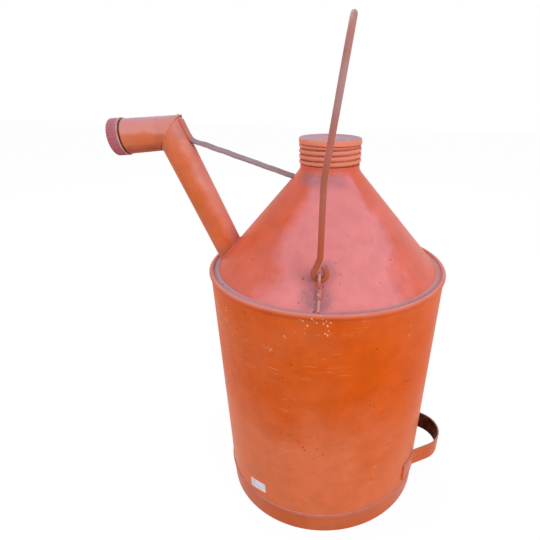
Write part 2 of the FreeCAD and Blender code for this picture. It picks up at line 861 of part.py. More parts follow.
faults = [thing.Label for thing in doc.Objects
          if "Invalid" in thing.State or "Error" in thing.State]
for label, made in nodes.items():
    if made.Shape.isNull() or not made.Shape.isValid() or not made.Shape.Solids:
        faults.append(label)
if faults:
    raise RuntimeError("not built: " + ", ".join(faults))

os.makedirs("parts", exist_ok=True)
for label, made in nodes.items():
    made.Shape.exportStep(f"parts/{label}.step")
    print(label, "solids", len(made.Shape.Solids), "volume", round(made.Shape.Volume, 1))
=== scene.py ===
import json
import math

import bmesh
import bpy
from mathutils import Matrix, Vector


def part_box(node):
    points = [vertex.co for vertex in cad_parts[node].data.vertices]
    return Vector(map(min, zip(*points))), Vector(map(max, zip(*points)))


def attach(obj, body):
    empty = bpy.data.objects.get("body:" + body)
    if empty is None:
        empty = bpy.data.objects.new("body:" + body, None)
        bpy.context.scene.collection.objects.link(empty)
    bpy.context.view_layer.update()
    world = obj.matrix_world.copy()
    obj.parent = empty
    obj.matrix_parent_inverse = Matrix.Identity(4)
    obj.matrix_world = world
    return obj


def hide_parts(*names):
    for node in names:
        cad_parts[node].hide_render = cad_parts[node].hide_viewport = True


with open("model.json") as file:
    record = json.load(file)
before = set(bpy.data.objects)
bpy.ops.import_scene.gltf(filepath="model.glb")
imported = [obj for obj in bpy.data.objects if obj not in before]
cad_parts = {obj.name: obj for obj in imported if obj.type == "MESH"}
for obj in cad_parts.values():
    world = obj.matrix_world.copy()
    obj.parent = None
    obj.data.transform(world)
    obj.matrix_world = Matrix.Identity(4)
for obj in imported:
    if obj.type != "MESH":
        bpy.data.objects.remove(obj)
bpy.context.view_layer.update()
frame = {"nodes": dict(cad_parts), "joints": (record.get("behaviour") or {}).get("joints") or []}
nodes = frame["nodes"]
joints = {joint["name"]: joint for joint in frame["joints"]}
mm = 0.001
fullTurn = 2 * math.pi


view = {
    "place": (0.0228, -0.3835, 0.4059),
    "tilt": 57.75,      # up from straight down
    "swing": 4.11,      # to the left, about the upright
    "roll": 1.03,
    "camera": {"lens": 28.48, "sensor_width": 36, "clip_start": 0.01, "shift_x": -0.0946,
               "shift_y": 0.1387},
}

studio = {
    "floorSize": 8.0,
    "floorColour": "#b9b7b4",
    "floorWhite": 0.80,          # how far the floor is lifted to white for the camera
    "floorGlow": 1.16,
    "skyColour": "#dde3f2",
    "skyStrength": 0.78,
    "aim": (0.0, 0.0, 0.20),
    # name: place, size, watts
    "lamps": {
        "window": ((1.15, -0.95, 0.85), 0.7, 10),
        "front": ((-0.55, -1.45, 0.80), 0.9, 2.5),
        "left": ((-1.40, -0.20, 0.70), 0.9, 5),
        "back": ((-0.4, 1.20, 1.30), 0.9, 5),
    },
}


def colour(code):
    # a hex colour, made linear for the shader
    parts = [int(code[place:place + 2], 16) / 255 for place in (1, 3, 5)]
    return *(((c + 0.055) / 1.055) ** 2.4 if c > 0.04045 else c / 12.92 for c in parts), 1


def colours(codes):
    return [colour(code) for code in codes]


openTree = {}      # "now" is the tree that new nodes go into


def feed(node, sources):
    # sources: sockets by name or number, each with its value or the socket or node it comes from
    for key, value in sources.items():
        if isinstance(value, bpy.types.Node):
            value = value.outputs[0]
        if isinstance(value, bpy.types.NodeSocket):
            openTree["now"].links.new(value, node.inputs[key])
        else:
            node.inputs[key].default_value = value
    return node


def choose(thing, **settings):
    for key, value in settings.items():
        setattr(thing, key, value)


def addNode(kind, sources=None, **settings):
    node = openTree["now"].nodes.new("ShaderNode" + kind)
    choose(node, **settings)
    return feed(node, sources or {})


def chain(operation):
    # runs one operation through a row of values and clamps only the last result
    def run(*values, clamp=False):
        whole = values[0]
        for value in values[1:]:
            node = addNode("Math", {0: whole, 1: value}, operation=operation)
            whole = node.outputs[0]
        node.use_clamp = clamp
        return whole
    return run


product, total, largest = chain("MULTIPLY"), chain("ADD"), chain("MAXIMUM")


def vectors(operation, first, second=(0, 0, 0), output="Vector"):
    return addNode("VectorMath", {0: first, 1: second}, operation=operation).outputs[output]


def blend(share, under, over, how="MIX"):
    node = addNode("Mix", {0: share, 6: under, 7: over}, data_type="RGBA", blend_type=how)
    return node.outputs[2]


def shade(tone, strength):
    # darkens or lightens a colour by a changing grey
    grey = addNode("CombineColor", {0: strength, 1: strength, 2: strength})
    return blend(1.0, tone, grey, "MULTIPLY")


def ramp(value, low, high, toLow=0.0, toHigh=1.0, smooth=True):
    return addNode("MapRange", {"Value": value, "From Min": low, "From Max": high,
                                "To Min": toLow, "To Max": toHigh},
                   interpolation_type="SMOOTHSTEP" if smooth else "LINEAR").outputs[0]


def startTree(owner):
    owner.use_nodes = True
    openTree["now"] = owner.node_tree
    openTree["now"].nodes.clear()


def addObject(name, data):
    thing = bpy.data.objects.new(name, data)
    bpy.context.scene.collection.objects.link(thing)
    return thing


def addCamera():
    camera = addObject("camera", bpy.data.cameras.new("camera"))
    place = Matrix.Translation(view["place"])
    for name, axis in (("swing", "Z"), ("tilt", "X"), ("roll", "Z")):
        place = place @ Matrix.Rotation(math.radians(view[name]), 4, axis)
    camera.matrix_world = place
    choose(camera.data, **view["camera"])
    bpy.context.scene.camera = camera


def seenRay():
    # 1 for what the camera, a shine or a see-through surface looks at
    path = addNode("LightPath").outputs
    return largest(*[path["Is %s Ray" % kind] for kind in ("Camera", "Glossy", "Transmission")])


def addFloor():
    bpy.ops.mesh.primitive_plane_add(size=studio["floorSize"], location=(0, 0, 0))
    floor = bpy.context.object
    floor.name = "floor"
    material = bpy.data.materials.new("paleFloor")
    startTree(material)
    diffuse = addNode("BsdfDiffuse", {"Color": colour(studio["floorColour"])})
    glow = addNode("Emission", {"Color": (1, 1, 1, 1), "Strength": studio["floorGlow"]})
    share = product(seenRay(), studio["floorWhite"])
    mix = addNode("MixShader", {"Fac": share, 1: diffuse, 2: glow})
    addNode("OutputMaterial", {"Surface": mix})
    floor.data.materials.append(material)


def addLight():
    world = bpy.data.worlds.new("studioWorld")
    bpy.context.scene.world = world
    startTree(world)
    sky = addNode("Background", {"Color": colour(studio["skyColour"]),
                                 "Strength": studio["skyStrength"]})
    white = addNode("Background", {"Color": (1, 1, 1, 1), "Strength": 1.0})
    mix = addNode("MixShader", {"Fac": seenRay(), 1: sky, 2: white})
    addNode("OutputWorld", {"Surface": mix})
    for name, (place, size, watts) in studio["lamps"].items():
        lamp = addObject(name, bpy.data.lights.new(name, "AREA"))
        choose(lamp.data, size=size, energy=watts)
        lamp.location = place
        toward = Vector(studio["aim"]) - Vector(place)
        lamp.rotation_euler = toward.to_track_quat("-Z", "Y").to_euler()


bpy.context.scene.view_settings.view_transform = "Standard"
addCamera()
addFloor()
addLight()
print("stage set")


# name: the noise's scale, detail, roughness and offset, then the ramp's low and high ends
# and, where they aren't 0 and 1, what it gives there
spreads = {
    "patches": (9, 4, 0.55, (0, 0, 0), 0.35, 0.68),
    "scratched": (17, 2, 0.5, (3, 1, 0), 0.50, 0.62),
    "dustAndSheenPatches": (34, 5, 0.62, (0, 2, 5), 0.28, 0.72, 0.72, 1.12),
    "blots": (80, 5, 0.65, (1, 0, 4), 0.25, 0.70, 0.55, 1.15),
    "pitted": (21, 2, 0.5, (0, 5, 2), 0.46, 0.62),
    "lowerSheen": (6, 2, 0.5, (0.4, 0.3, 0), 0.35, 0.60),
    "chipped": (17, 2, 0.5, (0, 0, 0), 0.52, 0.62),
    "capRim": (150, 3, 0.5, (0, 0, 0), 0.35, 0.6, 0.35, 0.85),
    "tabPaint": (60, 4, 0.6, (0, 0, 0), 0.35, 0.65),
    "rustAndShade": (120, 5, 0.7, (0, 0, 0), 0.38, 0.62),
    "rustSpecks": (320, 3, 0.6, (0, 0, 0), 0.60, 0.72),
    "rubbedWire": (38, 4, 0.6, (2, 0, 1), 0.50, 0.66),
    "rubberTone": (140, 4, 0.5, (0, 0, 0), 0.35, 0.65),
    "rubberRough": (300, 3, 0.5, (0, 0, 0), 0.3, 0.7, 0.6, 0.85),
    "soil": (160, 4, 0.6, (0, 0, 0), 0.48, 0.78),
    "fibre": (1100, 3, 0.5, (0, 0, 0), 0.3, 0.7, 0.95, 1.04),
    "tarnish": (110, 5, 0.65, (0, 0, 0), 0.38, 0.66),
}

paint = {
    "fresh": "#e05a0e",
    "faded": "#e8774a",
    # the dust and ledge colours paint dust together with a painted sky sheen on faces that look up
    "dust": "#dd9594",
    "ledge": "#b89cab",
    # the grime colour also paints shade in creases, grooves and gaps
    "grime": "#84605f",
    "dustAmount": 1.0,
    "scratches": 0.0,
    "specks": 0.7,
    "specular": 0.08,
    "coat": 0.03,
    "coatRoughness": 0.2,
    "bump": 0.35,
    "bumpDepth": 0.35 * mm,
    "patchFading": 0.45,
    "mottleGrain": (60, 5, 0.6),     # noise scale, detail and roughness
    "mottle": (0.3, 0.7, 0.93, 1.06),
    "scratchGrain": (1, 4, 0.6),
    "scratchStretch": (62, 62, 1250),
    "scratchRamp": (0.61, 0.70),
    "scratchColour": "#f6b37a",
    # dust and painted sky sheen by how far a face looks up: the ramp's ends, then how much at most
    "slopes": (0.05, 0.70, 0.52),
    "ledges": (0.72, 0.97, 0.80),
    "pitColour": "#5e2a1c",
    "pitShake": (420, 0.0035),       # noise scale, reach
    "pits": ((230, 0.20, 0.70), (90, 0.13, 0.84)),     # scale, size, how rare
    "rough": (0.25, 0.75, 0.33, 0.47),
    "roughened": {"dust": 0.22, "grime": 0.20, "pits": 0.25},
    "peelGrain": (900, 2),
    "brushGrain": (1, 3, 0.6),
    "brushStretch": (22, 22, 700),
    "relief": {"peel": 0.10, "brush": 0.22, "mottle": 0.25, "pits": -0.7, "scratches": -0.3},
}


def objectPoint():
    return addNode("TexCoord").outputs["Object"]


def grain(scale, detail=3.0, roughness=0.5, offset=(0, 0, 0), stretch=(1, 1, 1)):
    place = objectPoint()
    if any(offset) or stretch != (1, 1, 1):
        place = addNode("Mapping", {"Vector": place, "Scale": stretch, "Location": offset})
    return addNode("TexNoise", {"Vector": place, "Scale": scale, "Detail": detail,
                                "Roughness": roughness}).outputs["Fac"]


def cellsAt(place, scale, channel):
    # how far a place is from its cell's middle, and a chance value of the cell
    cells = addNode("TexVoronoi", {"Vector": place, "Scale": scale}).outputs
    return cells["Distance"], addNode("SeparateColor", {0: cells["Color"]}).outputs[channel]


def spread(name):
    scale, detail, roughness, offset, *ends = spreads[name]
    return ramp(grain(scale, detail, roughness, offset), *ends)


def ripple(reach, scale, detail=4, roughness=0.6, offset=(0, 0, 0)):
    # swings evenly to either side of zero
    return ramp(grain(scale, detail, roughness, offset), 0.3, 0.7, -reach, reach, smooth=False)


def axisPart(vector, axis):
    return addNode("SeparateXYZ", {0: vector}).outputs[axis]


def upPart():
    # how far the surface looks up
    return axisPart(addNode("TexCoord").outputs["Normal"], "Z")


def makePaintGroup():
    # old brushed enamel: tone patches, dust and painted sky sheen on what faces up, fine scratches,
    # pits, and grime with painted shade
    tree = openTree["now"] = bpy.data.node_groups.new("agedPaint", "ShaderNodeTree")
    for way, kind, titles in (
            ("INPUT", "Color", ("Fresh", "Faded", "Dust", "Ledge", "Grime")),
            ("INPUT", "Float", ("Dust Amount", "Scratches", "Specks", "Grime Mask", "Fading And Sheen")),
            ("OUTPUT", "Color", ("Color",)), ("OUTPUT", "Float", ("Roughness", "Height"))):
        for title in titles:
            tree.interface.new_socket(title, in_out=way, socket_type="NodeSocket" + kind)
    give = tree.nodes.new("NodeGroupInput").outputs

    # tone: broad patches, then a finer mottle
    fine = grain(*paint["mottleGrain"])
    # the material's own mask adds to the patches; on the wall, cone and tubes it is painted sheen
    # and painted reflection
    fadingAndSheen = total(product(spread("patches"), paint["patchFading"]), give["Fading And Sheen"], clamp=True)
    tone = blend(fadingAndSheen, give["Fresh"], give["Faded"])
    tone = shade(tone, ramp(fine, *paint["mottle"]))

    # brush lines and scratches run round the can
    lines = grain(*paint["scratchGrain"], stretch=paint["scratchStretch"])
    scratch = product(ramp(lines, *paint["scratchRamp"]), spread("scratched"), give["Scratches"])
    tone = blend(scratch, tone, blend(0.5, give["Faded"], colour(paint["scratchColour"])))

    # dust and painted sky sheen: none on walls, thin on slopes, thick on ledges
    up = upPart()
    uneven = spread("dustAndSheenPatches")
    thin, thick = [product(ramp(up, low, high), most, uneven, give["Dust Amount"], clamp=True)
                   for low, high, most in (paint["slopes"], paint["ledges"])]
    tone = blend(thin, tone, give["Dust"])
    tone = blend(thick, tone, give["Ledge"])

    # grime and painted shade where the material asks for it
    darkened = product(give["Grime Mask"], spread("blots"), clamp=True)
    tone = blend(darkened, tone, give["Grime"])

    # pits: small dark rust specks, a few of them larger
    scale, reach = paint["pitShake"]
    shake = addNode("TexNoise", {"Vector": objectPoint(), "Scale": scale}).outputs["Color"]
    shaken = addNode("VectorMath", {0: shake, 1: (reach, reach, reach), 2: objectPoint()},
                     operation="MULTIPLY_ADD")
    dots = []
    for scale, size, rare in paint["pits"]:
        away, pick = cellsAt(shaken, scale, 0)
        dots.append(product(ramp(away, size, size * 0.25), ramp(pick, rare, rare + 0.02)))
    pits = product(largest(*dots), total(spread("pitted"), 0.25), give["Specks"], clamp=True)
    tone = blend(pits, tone, colour(paint["pitColour"]))

    masks = {"dust": thick, "grime": darkened, "pits": pits}
    more = [product(masks[name], much) for name, much in paint["roughened"].items()]
    rough = total(ramp(fine, *paint["rough"]), *more, clamp=True)
    forms = {"peel": grain(*paint["peelGrain"]), "mottle": fine, "pits": pits, "scratches": scratch,
             "brush": grain(*paint["brushGrain"], stretch=paint["brushStretch"])}
    height = total(*[product(forms[name], much) for name, much in paint["relief"].items()])
    feed(tree.nodes.new("NodeGroupOutput"), {"Color": tone, "Roughness": rough, "Height": height})
    return tree


paintGroup = makePaintGroup()


def startMaterial(name):
    material = bpy.data.materials.new(name)
    startTree(material)
    shader = addNode("BsdfPrincipled")
    addNode("OutputMaterial", {"Surface": shader})
    return material, shader


def addBump(shader, height, strength, depth):
    bump = addNode("Bump", {"Strength": strength, "Distance": depth, "Height": height})
    feed(shader, {"Normal": bump})


def paintMaterial(name, grimeMask=None, fadingAndSheen=None, over=None, **changes):
    # the three functions add what belongs to one piece, and the changes are to `paint`
    own = dict(paint, **changes)
    material, shader = startMaterial(name)
    tones = ("fresh", "faded", "dust", "ledge", "grime")
    sources = {part.title(): colour(own[part]) for part in tones}
    sources.update({"Dust Amount": own["dustAmount"], "Scratches": own["scratches"],
                    "Specks": own["specks"], "Grime Mask": grimeMask() if grimeMask else 0.0,
                    "Fading And Sheen": fadingAndSheen() if fadingAndSheen else 0.0})
    group = addNode("Group", sources, node_tree=paintGroup)
    tone, rough = group.outputs["Color"], group.outputs["Roughness"]
    if over:
        tone, rough = over(tone, rough)
    feed(shader, {"Base Color": tone, "Roughness": rough, "Specular IOR Level": own["specular"],
                  "Coat Weight": own["coat"], "Coat Roughness": own["coatRoughness"]})
    addBump(shader, group.outputs["Height"], own["bump"], own["bumpDepth"])
    return material


def byAxis(axis, *ends):
    # a ramp along one axis of the can
    return ramp(axisPart(objectPoint(), axis), *ends)


def flat(vector):
    # without its height
    return vectors("MULTIPLY", vector, (1, 1, 0))


def dot(first, second):
    return vectors("DOT_PRODUCT", first, second, "Value")


def byRadius(*ends):
    # a ramp outward from the can's axis
    return ramp(vectors("LENGTH", flat(objectPoint()), output="Value"), *ends)


def halo(centre, inner, outer):
    # 1 near a point, falling to 0, with a ragged edge
    away = vectors("DISTANCE", objectPoint(), centre, "Value")
    return ramp(total(away, ripple(0.35 * outer, 55)), outer, inner)


def level(low, high):
    # 0 at one height and 1 at the other, with a ragged edge
    wave = product(ripple(0.25, 22, offset=(7, 0, 0)), abs(high - low))
    return ramp(total(axisPart(objectPoint(), "Z"), wave), low, high)


def facing(degrees, low, high):
    # 1 on the side of the can that faces this way, 0 well round from it
    way = (math.cos(math.radians(degrees)), math.sin(math.radians(degrees)), 0)
    toward = dot(vectors("NORMALIZE", flat(objectPoint())), way)
    return ramp(total(toward, ripple(0.12, 12, offset=(0, 0, 3))), low, high)


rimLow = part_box("rim_wire")[0].z
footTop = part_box("body_shell")[0].z
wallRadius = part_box("foot_ring")[1].x
neckLow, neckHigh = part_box("filler_neck")
capLow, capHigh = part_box("filler_cap")
earLow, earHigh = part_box("bail_ear_front")
handleLow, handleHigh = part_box("tilt_handle")
elbow = Vector(joints["spout_cap_turn"]["pos_m"])
nozzleWay = Vector(joints["spout_cap_turn"]["axis"]).normalized()


bodyMarks = {
    # the painted floor reflection on the lower wall: heights, then strength
    "lowerSheen": (0.185, 0.105),         # heights it runs down between
    "lowerSheenMost": 0.85,
    "lowerSheenLeast": 0.55,
    # painted shade in the creases at the lower lip and under the rim's bead
    "shadeAboveFoot": (5 * mm, 0.55),    # height above the lower lip, strength
    "shadeBelowRim": ((3.0 * mm, 1.5 * mm), (0.3 * mm, 1.0 * mm), 0.3),
    "chips": (0.205, 0.240),         # heights they crowd up between
    "chipScale": 440,
    "chipSquash": (1, 1, 0.55),
    "chipSize": (0.25, 0.15),
    "chipsPicked": (0.55, 0.57),
    "knockedPicked": (0.14, 0.16),
    "chipColour": "#f7c48e",
    "chipRough": 0.2,
    # where the paint is knocked: degrees round the can, height, reach
    "knocks": ((-101, 0.236, 0.009), (-99, 0.241, 0.006), (-111, 0.219, 0.005), (-87, 0.239, 0.004),
               (40, 0.232, 0.012), (110, 0.060, 0.010), (165, 0.235, 0.008)),
}


def bodyPaintedReflection():
    # painted reflection of the floor: the lower wall is paler than the upper, unevenly
    return product(level(*bodyMarks["lowerSheen"]), bodyMarks["lowerSheenMost"],
                   total(spread("lowerSheen"), bodyMarks["lowerSheenLeast"]), clamp=True)


def bodyCreaseShade():
    # painted shade: a thin dark line under the rim's bead and along the lower lip
    reach, strength = bodyMarks["shadeAboveFoot"]
    (start, full), (end, still), rimStrength = bodyMarks["shadeBelowRim"]
    seam = byAxis("Z", footTop + reach, footTop)
    top = product(byAxis("Z", rimLow - start, rimLow - full),
                  byAxis("Z", rimLow - end, rimLow - still), rimStrength)
    return product(largest(seam, top), strength)


def bodyChips(tone, rough):
    # pale chips, most of them under the rim
    squashed = addNode("Mapping", {"Vector": objectPoint(), "Scale": bodyMarks["chipSquash"]})
    away, pick = cellsAt(squashed, bodyMarks["chipScale"], 1)
    ragged = total(away, ripple(0.12, 700, 2, 0.5))
    zones = [product(level(*bodyMarks["chips"]), spread("chipped"),
                     ramp(pick, *bodyMarks["chipsPicked"]))]
    for degrees, height, reach in bodyMarks["knocks"]:
        angle = math.radians(degrees)
        spot = (wallRadius * math.cos(angle), wallRadius * math.sin(angle), height)
        zones.append(product(halo(spot, reach * 0.5, reach),
                             ramp(pick, *bodyMarks["knockedPicked"])))
    chip = product(ramp(ragged, *bodyMarks["chipSize"]), largest(*zones))
    return (blend(chip, tone, colour(bodyMarks["chipColour"])),
            total(rough, product(chip, bodyMarks["chipRough"])))


coneMarks = {
    # the cone's painted sky reflection: which side, how far down, how strong
    "sheenSide": (-80, 0.73, 0.94),      # degrees round, where it starts and is full
    "sheenBelow": (0.3425, 0.334),
    "sheenStrength": 0.95,
    "gutter": (0.0975, 0.1040),         # radius
    "gutterSide": (170, 0.2, 0.8),
    "gutterLeast": 0.35,
    "gutterDustAndShade": 0.45,
    "neck": (9 * mm, 1 * mm),           # out from the neck
    "neckSide": (-100, 0.70, 0.98),
    "neckBelow": (0.3415, 0.3375),
    "neckDark": 0.55,
    "earDark": (3 * mm, 17 * mm, 0.8),
    "earSpots": (0.35, 0.85),           # up the ear
}


def conePaintedSheen():
    # painted reflection: a pink sky sheen on the slope's front side, none near the neck
    return product(facing(*coneMarks["sheenSide"]), byAxis("Z", *coneMarks["sheenBelow"]),
                   coneMarks["sheenStrength"])


def coneGrimeAndShade():
    # darker in the gutter, which is dust and painted shade in the recess by the rim, and darker
    # round the neck's foot and round the ears
    gutterZone = product(byRadius(*coneMarks["gutter"]),
                     total(facing(*coneMarks["gutterSide"]), coneMarks["gutterLeast"]), clamp=True)
    neck = product(byRadius(*[neckHigh.x + out for out in coneMarks["neck"]]),
                   facing(*coneMarks["neckSide"]), byAxis("Z", *coneMarks["neckBelow"]))
    masks = [product(gutterZone, coneMarks["gutterDustAndShade"]), product(neck, coneMarks["neckDark"])]
    inner, outer, strength = coneMarks["earDark"]
    for side in (-1, 1):
        for along in coneMarks["earSpots"]:
            point = (0, side * (-earLow.y + (earLow.y - earHigh.y) * along),
                     earLow.z + (earHigh.z - earLow.z) * along)
            masks.append(product(halo(point, inner, outer), strength))
    return largest(*masks)


marks = {
    "capGroove": (25.55 * mm, 25.0 * mm),        # radius
    "capTop": (362 * mm, 361 * mm),
    "spoutCapRim": (41.2 * mm, 40.7 * mm),       # out from the elbow
    "spoutCapRimHighlight": "#d9aaa0",
    "bailShoulder": (0.368, 0.405),
    "bailGrip": (0.405, 0.432, 1.0, 0.35),
    "bailDust": 0.85,
    "wireBrown": ("#9a5a3a", 0.55),
    "sheenTop": (0.12, 0.38),                 # how far the tube looks up
    "sheenNozzle": (0.02, 0.30),
    "sheenStrength": 0.85,
    "gutterBleached": (170, 0.35, 0.85),
    "gutterBleach": 0.9,
    "footShade": (0.278, 0.262, 0, 0.3),
    "elbowDark": (10 * mm, 19 * mm, 0.25),
    "lapShadowLine": ((-1.1 * mm, -0.5 * mm), (0.25 * mm, -0.05 * mm), (0.004, 0.006), 0.95),
    "nozzleUndersideShade": (-0.25, -0.62, 0, 0.4),
    "tabOnTube": (-0.1145, -0.1170),
    "tabPaint": ("#d7745a", "#cf8376"),
    "handleBow": 31 * mm,
    "handleFace": (0.002, -0.004),
    "rustAndShade": ("#2e1c13", "#6d3b27", "#a07a58"),
    "rustRough": 0.25,
    "ferruleGapShade": (42 * mm, 40 * mm, 0, 0.7),
}


def capGrooveShade():
    # painted shade in the thread's grooves
    return product(byRadius(*marks["capGroove"]), byAxis("Z", *marks["capTop"]))


def alongFromElbow(way):
    # how far out from the elbow along one way
    return dot(vectors("SUBTRACT", objectPoint(), elbow), way)


def capRimHighlight(tone, rough):
    # painted highlight: paler along the rim at its mouth
    rim = product(ramp(alongFromElbow(nozzleWay), *marks["spoutCapRim"]), spread("capRim"))
    return blend(rim, tone, colour(marks["spoutCapRimHighlight"])), rough


def bailFading():
    # dusty shoulders, a grip rubbed by hands, and legs that keep their colour
    shoulder, grip = [byAxis("Z", *marks[name]) for name in ("bailShoulder", "bailGrip")]
    return product(shoulder, grip, marks["bailDust"])


def wornWire(tone, rough):
    # paint rubbed to brown along the wire
    brown, strength = marks["wireBrown"]
    return blend(product(spread("rubbedWire"), strength), tone, colour(brown)), rough


def topPaintedSheen(ends):
    # painted highlight: the upper side of both tubes is paler
    def fadingAndSheen():
        return product(ramp(total(upPart(), ripple(0.12, 45)), *ends), marks["sheenStrength"])
    return fadingAndSheen


def gutterFading():
    return product(facing(*marks["gutterBleached"]), marks["gutterBleach"])


def spoutDarkening():
    # painted shade low on the tube where it meets the cone, and darker round the elbow
    inner, outer, strength = marks["elbowDark"]
    return largest(byAxis("Z", *marks["footShade"]), product(halo(elbow, inner, outer), strength))


lap = {
    "from": 7.5 * mm,          # out from the elbow
    "to": 38.0 * mm,
    "lapEdge": -137.0,         # degrees round the nozzle, from its top
    "width": 26.0,
    "thickness": 0.4 * mm,
    "sunk": 0.05 * mm,
    "steps": 12,
    "turnSteps": 10,
    "thinning": (1.15, 0.8),   # where round the lap it starts, and how sharply
}


def nozzleShade():
    # painted shadow: a dark line under the lap's edge along the nozzle's underside, with painted
    # shade on the underside and the spout's own darkening
    across, below, outward, strength = marks["lapShadowLine"]
    upright = Vector((nozzleWay.z, 0, -nozzleWay.x))
    edge = math.radians(lap["lapEdge"])
    out = math.cos(edge) * upright + math.sin(edge) * Vector((0, 1, 0))
    turning = math.cos(edge) * Vector((0, 1, 0)) - math.sin(edge) * upright
    aside = alongFromElbow(turning)
    line = product(ramp(aside, *across), ramp(aside, *below),
                   ramp(alongFromElbow(out), *outward), strength)
    return largest(line, ramp(upPart(), *marks["nozzleUndersideShade"]), spoutDarkening())


def braceTab(tone, rough):
    # the part that lies on the tube is painted with it
    painted = blend(spread("tabPaint"), *colours(marks["tabPaint"]))
    return blend(byAxis("X", *marks["tabOnTube"]), tone, painted), rough


def handleInsideRustAndShade(tone, rough):
    # the inner face of the loop was never painted: bare, brown and rusty, and its dark brown is
    # also painted shade inside the loop
    outward = vectors("SUBTRACT", objectPoint(), (handleHigh.x - marks["handleBow"], 0, 0))
    face = dot(flat(outward), addNode("TexCoord").outputs["Normal"])
    inside = ramp(face, *marks["handleFace"])
    dark, brown, pale = colours(marks["rustAndShade"])
    rustAndShade = blend(spread("rustAndShade"), dark, brown)
    rustAndShade = blend(spread("rustSpecks"), rustAndShade, pale)
    return blend(inside, tone, rustAndShade), total(rough, product(inside, marks["rustRough"]))


def ferruleGapShade():
    # painted shade in the open gap beside the cap
    return ramp(alongFromElbow(nozzleWay), *marks["ferruleGapShade"])


plain = {
    "rubber": ("#1c1a19", "#34302e"),
    "rubberBump": (900, 3, 0.3, 0.2 * mm),       # noise scale and detail, strength, depth
    "paper": ("#f0eaee", "#cfbfc2"),
    "paperRough": (0.55, 0.75),
    "paperSpecular": 0.3,
    "paperBump": (1400, 3, 0.25, 0.1 * mm),
    "gapShade": "#2b1613",
    "metallic": (1.0, 0.55),
    "metalBump": (500, 4, 0.25, 0.2 * mm),
}


def coverShader(shader, tone, rough, bump):
    scale, detail, strength, depth = bump
    feed(shader, {"Base Color": tone, "Roughness": rough})
    addBump(shader, grain(scale, detail), strength, depth)


def rubberMaterial():
    material, shader = startMaterial("gasketRubber")
    tone = blend(spread("rubberTone"), *colours(plain["rubber"]))
    coverShader(shader, tone, spread("rubberRough"), plain["rubberBump"])
    return material


def labelMaterial():
    # blank paper, a little soiled
    material, shader = startMaterial("labelPaper")
    soil = spread("soil")
    tone = shade(blend(soil, *colours(plain["paper"])), spread("fibre"))
    feed(shader, {"Specular IOR Level": plain["paperSpecular"]})
    coverShader(shader, tone, ramp(soil, 0, 1, *plain["paperRough"]), plain["paperBump"])
    return material


def metalMaterial(name, bright, dull, roughLow, roughHigh, gapShade=None):
    material, shader = startMaterial(name)
    tarnish = spread("tarnish")
    tone = blend(tarnish, colour(bright), colour(dull))
    if gapShade:
        tone = blend(gapShade(), tone, colour(plain["gapShade"]))
    feed(shader, {"Metallic": ramp(tarnish, 0, 1, *plain["metallic"])})
    coverShader(shader, tone, ramp(tarnish, 0, 1, roughLow, roughHigh), plain["metalBump"])
    return material


materials = {
    # the body's ledge colour paints a pink highlight along the rim bead's top and the lower lip
    "body_shell": paintMaterial(
        "bodyPaint", ledge="#e0a69b", dustAmount=0.75, scratches=0.85, specks=0.8, specular=0.05,
        coat=0.0, fadingAndSheen=bodyPaintedReflection, grimeMask=bodyCreaseShade, over=bodyChips),
    "foot_ring": paintMaterial("footPaint", fresh="#d3602e", faded="#dc7850", scratches=0.5),
    "cone_top": paintMaterial(
        "conePaint", fresh="#de5c2e", faded="#ea8885", dust="#d99a9c", grime="#8d6a72",
        dustAmount=0.08, scratches=0.15, specks=0.6, fadingAndSheen=conePaintedSheen, grimeMask=coneGrimeAndShade),
    "spout_lower_tube": paintMaterial(
        "spoutPaint", fresh="#e06c30", faded="#e9907c", dust="#e59590", dustAmount=0.6,
        scratches=0.1, specks=0.4, fadingAndSheen=topPaintedSheen(marks["sheenTop"]), grimeMask=spoutDarkening),
    "spout_upper_tube": paintMaterial(
        "nozzlePaint", fresh="#e06c30", faded="#e9937f", dust="#d98f90", grime="#7a3420",
        dustAmount=0.7, scratches=0.1, specks=0.4, fadingAndSheen=topPaintedSheen(marks["sheenNozzle"]),
        grimeMask=nozzleShade),
    "spout_brace": paintMaterial(
        "bracePaint", fresh="#a88078", faded="#b8979a", dust="#977b83", ledge="#977b83",
        specks=0.9, coat=0.0, over=braceTab),
    "bail": paintMaterial(
        "bailPaint", fresh="#bd5a3a", faded="#b98780", dust="#b28883", dustAmount=0.6,
        specks=0.6, fadingAndSheen=bailFading, over=wornWire),
    "bail_ear_front": paintMaterial(
        "earPaint", fresh="#c57058", faded="#d29284", dust="#dda79f", specks=0.9),
    "tilt_handle": paintMaterial(
        "handlePaint", fresh="#d9602c", faded="#de7448", ledge="#caa79d", scratches=0.4,
        specks=0.9, over=handleInsideRustAndShade),
    "bottom_plate": paintMaterial("bottomPaint", fresh="#8a3a22", faded="#6d3526", specks=1.0),
    "filler_cap": paintMaterial(
        "capPaint", fresh="#ee7f58", faded="#f59e86", dust="#dc9a92", ledge="#a58c9a",
        grime="#a4553f", scratches=0.1, specks=0.5, specular=0.1, coat=0.0, grimeMask=capGrooveShade),
    "spout_cap": paintMaterial(
        "spoutCapPaint", fresh="#bd626a", faded="#d08288", dust="#cc989d", ledge="#bd949f",
        specks=0.5, specular=0.12, coat=0.0, over=capRimHighlight),
    "gutter": paintMaterial(
        "gutterDust", fresh="#cf8480", faded="#b9a0aa", dust="#c49092", ledge="#c98d8c",
        dustAmount=0.1, specks=1.0, specular=0.1, coat=0.0, fadingAndSheen=gutterFading),
    "label": labelMaterial(),
    "filler_gasket": rubberMaterial(),
    "spout_ferrule": metalMaterial("oldBrass", "#b8924a", "#6b5434", 0.32, 0.6, gapShade=ferruleGapShade),
    "rim_wire": metalMaterial("oldSteel", "#8d8a86", "#5a4a40", 0.4, 0.7),
}
materials["filler_neck"] = materials["cone_top"]
materials["bail_ear_back"] = materials["bail_ear_front"]
materials["spout_gasket"] = materials["filler_gasket"]

